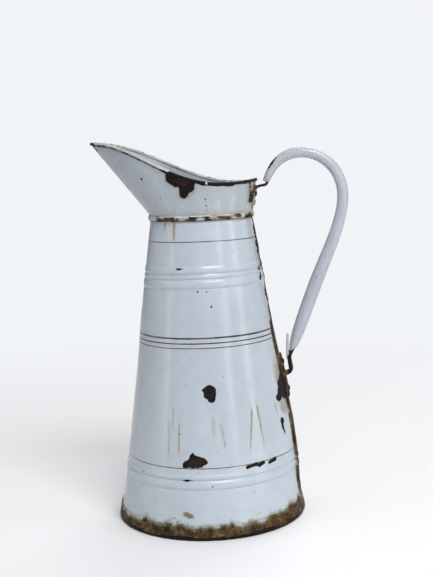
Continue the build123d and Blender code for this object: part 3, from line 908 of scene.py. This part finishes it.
def make_upper_bracket():
    """Strap from the back of the collar to the handle's upper end."""
    pad = [(hood_back_x(z) + 1.1, z) for z in (309.5, 312, 318, 325, 330)]
    pad = hugging(strap_points(pad, [7, 11.5, 12, 12, 11], 2.2), hood_back_x, 54.0)
    arm = [(hood_back_x(327) + 0.6, 327.2), (60.5, 329.2), (66.4, 329.8), (68.2, 331.2), (68.6, 335.5)]
    arm = strap_points(arm, [11.5, 10, 8.5, 6.5, 4.6], 2.7)
    return blended("bracket_upper", [pad, arm], 0.42, upper_bracket_wear, "upper_bracket")


def lower_bracket_wear(p):
    x, _, z = p.T
    off = x - visual_wall_x(z) - 2.6
    black = np.minimum(off - 3.0, 172.0 - z) * 0.8 + 1.2 * fbm(p, 4.0, 150)
    inner_side = np.where((z > 146) & (z < 160), x - 83.0 + 0.5 * fbm(p, 5.0, 151), LIMIT)
    on_tongue = smooth(z, 159.5, 161.0) * (x < 84.2)
    chip_and_shade = np.where(on_tongue > 0.5, -2.0, np.minimum(black, inner_side))
    chip_and_shade = union(chip_and_shade, np.where(off < 1.0, -0.6 + 1.8 * fbm(p, 7.0, 152), NONE))
    rust = np.where(off < 5.0, 2.5 + 1.0 * fbm(p, 6.0, 154), NONE)
    brown = np.clip(0.35 + 0.5 * fbm(p, 9.0, 156), 0, 1)
    return wear_values(x.shape, chip_and_shade, brown, rust,
                       np.clip(0.3 - 0.25 * on_tongue + 0.3 * fbm(p, 5.0, 158), 0, 1))


def make_lower_bracket():
    """Riveted pad, arm, upright and the pointed tongue at the handle's lower end."""
    heights = np.array([117.5, 121.0, 130.0, 140.0, 150.0, 157.0, 161.5])
    pad = strap_points(list(zip(visual_wall_x(heights) + 1.2, heights)), [7, 11, 13, 14, 13, 11, 6], 2.6)
    pad = hugging(pad, visual_wall_x, 76.0)
    arm = [(float(visual_wall_x(138.5)) + 0.2, 139.4), (80.6, 141.2), (84.4, 142.6), (86.0, 145.0),
           (85.2, 150.0), (84.1, 158.0), (86.9, 163.6)]
    arm = strap_points(arm, [13, 11.5, 11, 10.5, 10.0, 8.0, 4.4], 4.0)
    tongue = [(84.0, 154.0), (82.7, 158.0), (82.7, 166.0), (83.0, 174.0), (83.4, 181.2)]
    tongue = strap_points(tongue, [8.0, 8.4, 7.8, 5.0, 0.9], 2.3)
    forms = [pad, arm, tongue]
    return blended("bracket_lower", forms, 0.45, lower_bracket_wear, "lower_bracket")


def rivet_rows(place, outward, radius, height):
    """One domed head, as rings from its rim to its crown."""
    place, outward = np.array(place), unit(outward)
    across = np.array((0.0, 1.0, 0.0))
    up = np.cross(outward, across)
    turn = full_turn(28)[:, None]
    rows = []
    for level in np.concatenate([[-0.25], np.linspace(0, 1, 9)]):
        size = radius * math.sqrt(max(1 - max(level, 0) ** 2, 0.0008))
        rows.append(place + outward * level * height + size * (np.cos(turn) * across + np.sin(turn) * up))
    return np.array(rows)


def make_rivets(end, heights, surface_x, lift, radius, dome):
    """Hammered, rusted rivets: at each height a head on the strap and one inside the sheet."""
    parts = []
    for z in heights:
        x = float(surface_x(z))
        outward = np.array((2.0, 0.0, float(surface_x(z - 1)) - float(surface_x(z + 1))))
        parts.append(rivet_rows((x + lift, 0, z), outward, radius, dome))
        parts.append(rivet_rows((x - SHEET - CLEARANCE, 0, z), -outward, INNER_HEAD_R, INNER_HEAD_DOME))
    verts, faces = closed_forms(parts)
    verts = verts + 0.12 * np.stack([fbm(verts, 1.8, 160 + i, 2) for i in range(3)], -1)
    chip_and_shade, rust = 0.2 + 1.5 * fbm(verts, 2.5, 164, 2), 0.6 + 2 * fbm(verts, 3.0, 166, 2)
    values = wear_values(chip_and_shade.shape, chip_and_shade, 0.6, rust, 0.3)
    return make_piece("rivet_heads_" + end, verts, faces, values, end + "_rivets", 50)


# ---------------- materials

def linear(*screen):
    """Screen colour in 0..255 as scene-linear."""
    return tuple(((c / 255 + 0.055) / 1.055) ** 2.4 if c > 10 else c / 255 / 12.92 for c in screen) + (1.0,)


class Nodes:
    """Adds and links the nodes of one material or world."""

    def __init__(self, owner, space="Object"):
        owner.use_nodes = True
        self.tree = owner.node_tree
        self.tree.nodes.clear()
        self.coords = self.add("TexCoord").outputs[space]

    def add(self, kind, inputs=(), **settings):
        node = self.tree.nodes.new("ShaderNode" + kind)
        for key, value in settings.items():
            setattr(node, key, value)
        for key, value in dict(inputs).items():
            if isinstance(value, bpy.types.NodeSocket):
                self.tree.links.new(value, node.inputs[key])
            else:
                node.inputs[key].default_value = value
        return node

    def math(self, operation, a, b=0.0, c=0.0):
        return self.add("Math", {0: a, 1: b, 2: c}, operation=operation).outputs[0]

    def plus(self, a, b):
        return self.math("ADD", a, b)

    def less(self, a, b):
        return self.math("SUBTRACT", a, b)

    def times(self, a, b):
        return self.math("MULTIPLY", a, b)

    def step(self, value, low, high, top=1.0):
        """Eased step from 0 at low to top at high."""
        return self.add("MapRange", {0: value, 1: low, 2: high, 3: 0.0, 4: top},
                        interpolation_type="SMOOTHSTEP").outputs[0]

    def mix(self, share, a, b):
        """Colour between a and b, each a socket or a screen colour."""
        a, b = (linear(*c) if isinstance(c, tuple) else c for c in (a, b))
        return self.add("Mix", {0: share, 6: a, 7: b}, data_type="RGBA").outputs[2]

    def blend(self, share, a, b):
        return self.add("Mix", {0: share, 2: a, 3: b}, data_type="FLOAT").outputs[0]

    def ramp(self, value, stops):
        """Colour read from places along a ramp."""
        node = self.add("ValToRGB", {0: value})
        elements = node.color_ramp.elements
        while len(elements) < len(stops):
            elements.new(0.5)
        for element, (place, shade) in zip(elements, stops):
            element.position = place
            element.color = linear(*shade)
        return node.outputs[0]

    def value(self, name):
        """Wear stored on the mesh."""
        return self.add("Attribute", attribute_name=name).outputs["Fac"]

    def height(self):
        return self.add("SeparateXYZ", {0: self.coords}).outputs[2]

    def noise(self, size, detail=3.0, rough=0.55, stretch=(1, 1, 1), seed=0.0):
        """Noise in -1..1 with features of about the given size in millimetres."""
        place = self.add("Mapping", {0: self.coords, 1: (seed, seed, seed), 3: stretch}).outputs[0]
        node = self.add("TexNoise", {"Vector": place, "Scale": 0.5 / (size * MM), "Detail": detail,
                                               "Roughness": rough})
        return self.math("MULTIPLY_ADD", node.outputs[0], 4.0, -2.0)

    def patches(self, low, high, size, detail, rough=0.55, stretch=(1, 1, 1), seed=0.0):
        """Soft patches of noise: 0 where it is under low and 1 where it is over high."""
        return self.step(self.noise(size, detail, rough, stretch, seed), low, high)


def speckles(s, cell, radius, share, seed):
    """Mask of small round pits: one in some cells of the given size."""
    place = s.add("Mapping", {0: s.coords, 1: (seed, seed, seed)}).outputs[0]
    cells = s.add("TexVoronoi", {"Vector": place, "Scale": 1 / (cell * MM)})
    pick = s.add("SeparateColor", {0: cells.outputs["Color"]})
    size = s.times(radius / cell, s.plus(0.45, pick.outputs[1]))
    mask = s.step(s.less(size, cells.outputs["Distance"]), 0.0, 0.25 * radius / cell)
    return s.times(mask, s.math("LESS_THAN", pick.outputs[0], share))


def stripe_mask(s, height, half, seed):
    """Hand-painted line round the jug, slightly uneven and worn."""
    wobble = s.times(s.noise(40, 2, seed=seed), 0.22 * MM)
    gap = s.math("ABSOLUTE", s.less(s.plus(s.height(), wobble), height * MM))
    width = s.math("MULTIPLY_ADD", s.noise(9, 3, seed=seed + 3), 0.16 * half * MM, half * MM)
    return s.step(s.less(width, gap), -0.16 * MM, 0.16 * MM)


def coat(s, tint):
    """Enamel that varies slowly in tone, with painted vertical reflection streaks, fine specks and scuffs,
    rubbed dark over the foot.
    """
    dark, light = tuple(c * 0.93 for c in tint), tuple(min(255, c * 1.04) for c in tint)
    slow = s.patches(-1.0, 1.0, 70, 2)
    # painted reflection: lighter and darker streaks stretched up and down, like bands mirrored in the glaze
    painted_reflection_streaks = s.patches(-1.0, 1.0, 26, 3, stretch=(1, 1, 0.16), seed=5.0)
    cloudy = s.patches(-1.2, 1.2, 7, 4, seed=9.0)
    tone = s.plus(s.plus(s.times(slow, 0.4), s.times(painted_reflection_streaks, 0.35)), s.times(cloudy, 0.25))
    colour = s.mix(tone, dark, light)
    specks = s.patches(0.1, 1.1, 1.4, 2, seed=2.0)
    colour = s.mix(s.times(specks, 0.10), colour, (150, 152, 150))
    scuffs = s.patches(0.75, 1.05, 2.2, 4, 0.7, (1, 1, 0.35), 31.0)
    colour = s.mix(s.times(scuffs, 0.16), colour, (135, 134, 128))
    rubbed = s.patches(0.35, 0.75, 1.5, 3, 0.7, (0.18, 0.18, 1.3), 71.0)
    low_down = s.times(s.step(s.height(), 11 * MM, 17 * MM), s.step(s.height(), 30 * MM, 18 * MM))
    return s.mix(s.times(s.times(rubbed, low_down), 0.55), colour, (70, 72, 80))


def lined(s, colour, stripes):
    """Adds the painted lines."""
    for i, (height, half) in enumerate(stripes):
        mask = s.times(stripe_mask(s, height, half, 11.0 + 7 * i), s.value("painted"))
        worn = s.patches(-1.1, -0.3, 5, 4, 0.7, seed=50.0 + i)
        ink = s.mix(s.patches(-0.2, 0.6, 16, 3, seed=60.0 + i), (38, 32, 38), (104, 74, 54))
        colour = s.mix(s.times(mask, s.math("MULTIPLY_ADD", worn, 0.55, 0.4)), colour, ink)
    return colour


def stained_and_shaded(s, colour):
    """Adds ochre stains, grey where they are strongest, and with them the painted shade on the collar;
    returns their share as well.
    """
    patchy = s.patches(-1.3, 0.9, 3.0, 4, 0.65, seed=14.0)
    stain_and_shade = s.times(s.value("stain_and_shade"), s.math("MULTIPLY_ADD", patchy, 0.6, 0.65))
    stain_and_shade = s.math("MINIMUM", stain_and_shade, 0.95)
    ochre = s.mix(s.patches(-1, 1, 5, 3, seed=17.0), (118, 112, 92), (152, 132, 92))
    colour = s.mix(stain_and_shade, colour, ochre)
    return s.mix(s.step(s.value("stain_and_shade"), 1.7, 2.1, 0.9), colour, (112, 108, 94)), stain_and_shade


def rusted(s, colour, edge, grain, ragged):
    """Adds scaly rust with a soft halo, mossy along its edge at the foot; returns its mask as well."""
    field = s.plus(s.plus(s.value("rust"), s.times(edge, 1.1)), s.times(grain, 0.55))
    rust = s.step(field, -0.35, 0.35)
    colour = s.mix(s.step(field, -2.4, 0.0, 0.75), colour, (118, 112, 84))
    crust, grit = s.noise(4.5, 5, 0.7, seed=27.0), s.noise(1.2, 3, 0.6, seed=29.0)
    tone = s.step(s.plus(s.times(crust, 0.7), s.times(grit, 0.5)), -1.1, 1.1)
    scale = s.ramp(tone, RUST_TONES)
    deep = s.step(s.plus(s.value("rust"), s.times(ragged, 1.2)), 0.2, 3.6)
    moss = s.mix(s.step(grain, -0.9, 0.9), (70, 66, 50), (126, 122, 96))
    mossy = s.times(s.less(1.0, deep), s.step(s.height(), 34 * MM, 26 * MM))
    return s.mix(rust, colour, s.mix(mossy, scale, moss)), rust


def bared_and_shaded(s, colour, edge, rust):
    """Adds chips down to dark iron, which also paints the shadow under the rim's roll, with a pale edge that
    is partly a painted highlight; returns their mask as well.
    """
    field = s.plus(s.value("chip_and_shade"), s.times(edge, 1.05))
    chip_and_shade = s.step(field, -0.14, 0.14)
    # pale rim round each chip: partly the enamel's broken edge, partly a painted highlight
    pale_edge_and_highlight = s.times(s.step(field, -0.5, -0.12, 0.3), s.less(1.0, rust))
    colour = s.mix(pale_edge_and_highlight, colour, (214, 218, 220))
    iron = s.mix(s.patches(-1, 1.2, 2.4, 4, 0.7, seed=33.0), (13, 11, 14), (34, 28, 28))
    browned = s.step(s.plus(s.value("brown"), s.times(s.noise(4.0, 4, 0.65, seed=35.0), 0.35)), 0.35, 0.95)
    iron = s.mix(s.times(browned, 0.9), iron, (50, 33, 23))
    return s.mix(chip_and_shade, colour, iron), chip_and_shade


def relief(s, grain, rust, chip_and_shade, pits):
    """Bump: enamel stands over iron and rust, with pits, fine peel and slow waves."""
    height = s.times(s.less(1.0, s.math("MAXIMUM", s.times(rust, 0.6), chip_and_shade)), 0.42 * MM)
    rough_iron = s.times(s.times(grain, s.math("MAXIMUM", rust, chip_and_shade)), 0.12 * MM)
    peel = s.times(s.noise(3.4, 2, seed=41.0), 0.008 * MM)
    wave = s.times(s.noise(18, 2, seed=43.0), 0.05 * MM)
    height = s.plus(s.plus(height, rough_iron), s.plus(peel, wave))
    height = s.less(height, s.times(pits, 0.15 * MM))
    return s.add("Bump", {"Height": height, "Strength": 1.0, "Distance": 1.0}).outputs[0]


def enamel(name, tint, stripes=(), gloss=0.2):
    """Vitreous enamel over iron, with painted lines, stains, pits, rust and chips, and painted shade towards
    its outlines.
    """
    material = bpy.data.materials.new(name)
    s = Nodes(material)
    grain = s.noise(1.6, 4, 0.7, seed=21.0)
    ragged = s.noise(5.0, 4, 0.65, seed=24.0)
    edge = s.plus(s.times(ragged, 0.8), s.times(grain, 0.65))
    colour, stain_and_shade = stained_and_shaded(s, lined(s, coat(s, tint), stripes))
    pits = s.math("MAXIMUM", speckles(s, 6.0, 0.4, 0.6, 3.0), speckles(s, 17.0, 0.7, 0.4, 8.0))
    colour = s.mix(s.times(pits, 0.85), colour, (52, 46, 52))
    colour, rust = rusted(s, colour, edge, grain, ragged)
    colour, chip_and_shade = bared_and_shaded(s, colour, edge, rust)
    # painted shade: the colour darkens where the surface turns away from the camera, towards each outline
    facing_for_painted_shade = s.add("LayerWeight", {"Blend": 0.35}).outputs["Facing"]
    colour = s.mix(s.step(facing_for_painted_shade, 0.35, 0.95, 0.34), colour, (98, 104, 112))

    rough = s.blend(s.patches(-1, 1, 6, 4, seed=37.0), gloss * 0.8, gloss * 1.35)
    for share, level in ((s.math("MINIMUM", stain_and_shade, 0.8), 0.5), (rust, 0.82), (chip_and_shade, 0.62)):
        rough = s.blend(share, rough, level)
    surface = s.add("BsdfPrincipled", {
        "Base Color": colour, "Roughness": rough, "Normal": relief(s, grain, rust, chip_and_shade, pits),
        "Metallic": s.times(chip_and_shade, 0.15), "IOR": 1.5,
        "Specular IOR Level": s.blend(s.math("MAXIMUM", rust, chip_and_shade), 0.5, 0.16),
    })
    s.add("OutputMaterial", {0: surface.outputs[0]})
    return material


def stage_material():
    """Plain floor that fades into the backdrop away from the jug, for the camera only."""
    material = bpy.data.materials.new("stage_floor")
    s = Nodes(material)
    colour = s.mix(s.patches(-1, 1, 300, 2), tuple(c - 3 for c in FLOOR_TINT), FLOOR_TINT)
    surface = s.add("BsdfPrincipled", {"Base Color": colour, "Roughness": 0.9})
    distance = s.add("VectorMath", {0: s.coords}, operation="LENGTH").outputs["Value"]
    far_off = s.times(s.step(distance, 0.25, 1.1), s.add("LightPath").outputs["Is Camera Ray"])
    pale = s.add("Emission", {"Color": STUDIO_WHITE, "Strength": BACKDROP})
    both = s.add("MixShader", {0: far_off, 1: surface.outputs[0], 2: pale.outputs[0]})
    s.add("OutputMaterial", {0: both.outputs[0]})
    return material


# ---------------- stage, light and camera

def make_floor():
    """Wide pale floor."""
    corners_on_floor = [(x * FLOOR_HALF, y * FLOOR_HALF, 0) for x, y in ((-1, -1), (1, -1), (1, 1), (-1, 1))]
    floor = linked("floor", new_mesh("floor", corners_on_floor, [(0, 1, 2, 3)], {}))
    floor.data.materials.append(stage_material())


def area_light(name, place, aim, size, power):
    """Rectangular light panel at a place in metres, turned to its aim."""
    data = bpy.data.lights.new(name, "AREA")
    data.shape = "RECTANGLE"
    data.size, data.size_y = size
    data.energy = power
    light = linked(name, data)
    light.location = place
    light.rotation_euler = (Vector(aim) - Vector(place)).to_track_quat("-Z", "Y").to_euler()


def make_lights():
    """Soft key from the front, narrow strips for the gloss, and panels above and behind."""
    centre = (0, 0, 0.2)
    area_light("key", around(30, 1.5, 2.0), centre, (1.2, 0.9), 36)
    area_light("strip_right", around(76, 1.9, 0.5), centre, (0.22, 1.3), 4.0)
    area_light("strip_front", around(44, 1.9, 0.6), centre, (0.3, 1.1), 3.6)
    area_light("strip_left", around(-58, 1.9, 0.5), centre, (0.30, 1.3), 2.1)
    area_light("top", (0.1, 0.2, 2.2), centre, (1.8, 1.8), 7)
    area_light("back", (0.5, 2.1, 1.9), (0, 0.9, 0.0), (1.8, 1.2), 22)


def make_world():
    """Pale studio surround, uneven round the horizon so that gloss shows soft bands, plain to the camera."""
    world = bpy.data.worlds.new("studio")
    bpy.context.scene.world = world
    s = Nodes(world, "Generated")
    flat = s.add("Mapping", {0: s.coords, 3: (1.0, 1.0, 0.05)}).outputs[0]
    bands = s.add("TexNoise", {"Vector": flat, "Scale": 4.6, "Detail": 2.5}).outputs[0]
    level = s.add("MapRange", {0: bands, 1: 0.40, 2: 0.62, 3: DARK_BAND, 4: LIGHT_BAND}).outputs[0]
    level = s.blend(s.add("LightPath").outputs["Is Camera Ray"], level, BACKDROP)
    surround = s.add("Background", {0: STUDIO_WHITE, 1: level}).outputs[0]
    s.add("OutputWorld", {0: surround})


def make_camera():
    """Camera on its bearing, turned by its yaw, pitch and roll."""
    bearing = Matrix.Rotation(math.radians(CAMERA_BEARING), 4, "Z")
    place = Matrix.Translation(Vector((0, -CAMERA_DISTANCE, CAMERA_HEIGHT)) * MM)
    yaw = Matrix.Rotation(-CAMERA_YAW, 4, "Z")
    pitch = Matrix.Rotation(math.pi / 2 - CAMERA_PITCH, 4, "X")
    roll = Matrix.Rotation(CAMERA_ROLL, 4, "Z")
    data = bpy.data.cameras.new("camera")
    data.lens = CAMERA_FOCAL
    data.sensor_width = 36.0
    data.clip_start = 0.05
    camera = linked("camera", data)
    camera.matrix_world = bearing @ place @ yaw @ pitch @ roll
    bpy.context.scene.camera = camera


# ---------------- assembly

bracket_look = enamel("enamel_bracket", BRACKET_TINT, gloss=0.35)
PIECES = (
    (make_body(), enamel("enamel_wall", BODY_TINT, STRIPES)),
    (make_base(), enamel("enamel_foot", BODY_TINT, gloss=0.4)),
    (make_hood(), enamel("enamel_hood", HOOD_TINT, gloss=0.22)),
    (make_rim(), enamel("enamel_rim", RIM_TINT, gloss=0.3)),
    (make_band(), enamel("enamel_band", BAND_TINT, gloss=0.25)),
    (make_handle(), enamel("enamel_handle", HANDLE_TINT, gloss=0.22)),
    (make_upper_bracket(), bracket_look),
    (make_lower_bracket(), bracket_look),
    (make_rivets("upper", UPPER_RIVETS, hood_back_x, 2.0, 2.9, 1.5), bracket_look),
    (make_rivets("lower", LOWER_RIVETS, visual_wall_x, 2.3, 3.0, 1.7), bracket_look),
)
for piece, look in PIECES:
    piece.data.materials.append(look)

make_floor()
make_lights()
make_world()
make_camera()
bpy.context.scene.view_settings.view_transform = "Standard"
